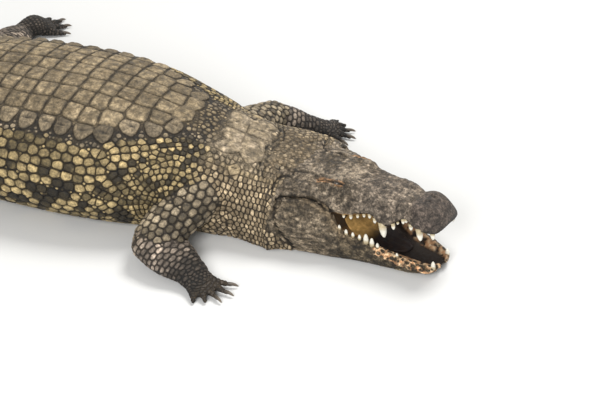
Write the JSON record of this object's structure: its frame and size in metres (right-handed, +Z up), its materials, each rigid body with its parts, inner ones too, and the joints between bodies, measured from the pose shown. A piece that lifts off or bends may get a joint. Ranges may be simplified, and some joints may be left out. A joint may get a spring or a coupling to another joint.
{
  "type": "nile crocodile model",
  "caption": "Life-size still model of a large crocodile lying on its belly, head turned to its right, jaws parted, legs splayed, tail in a slow curve.",
  "frame": {"origin": "on the floor, under the middle of the trunk", "axes": "+X forward along the trunk, +Y to the animal's left, +Z up"},
  "size_m": [3.7166, 1.8128, 0.4],
  "materials": {
    "back_hide": "dry matte scales, dusty olive brown with tan and black patches on the flanks",
    "head_hide": "dry matte bony hide, dark grey brown with pits and pale specks",
    "limb_hide": "charcoal scales with fine creases, slightly glossy",
    "mouth": "moist yellow orange tissue, darker at the front",
    "teeth": "semi-gloss ivory, stained at the gum",
    "eye": "wet gloss, bronze with a dark slit",
    "claw": "horn, dark and half glossy"
  },
  "bodies": {
    "root": {"head": "head_hide", "lower_jaw": "head_hide", "tongue": "mouth", "eye_right": "eye", "eye_left": "eye", "neck": "back_hide", "trunk": "back_hide", "tail_1": "back_hide", "tail_2": "back_hide", "tail_3": "back_hide", "tail_4": "back_hide", "tail_5": "back_hide", "upper_arm_right": "back_hide", "forearm_right": "limb_hide", "hand_right": "limb_hide", "thigh_right": "back_hide", "shank_right": "limb_hide", "foot_right": "limb_hide", "claw_hand_right_1": "claw", "claw_hand_right_2": "claw", "claw_hand_right_3": "claw", "claw_foot_right_1": "claw", "claw_foot_right_2": "claw", "claw_foot_right_3": "claw", "upper_arm_left": "back_hide", "forearm_left": "limb_hide", "hand_left": "limb_hide", "thigh_left": "back_hide", "shank_left": "limb_hide", "foot_left": "limb_hide", "claw_hand_left_1": "claw", "claw_hand_left_2": "claw", "claw_hand_left_3": "claw", "claw_foot_left_1": "claw", "claw_foot_left_2": "claw", "claw_foot_left_3": "claw"}
  },
  "joints": []
}
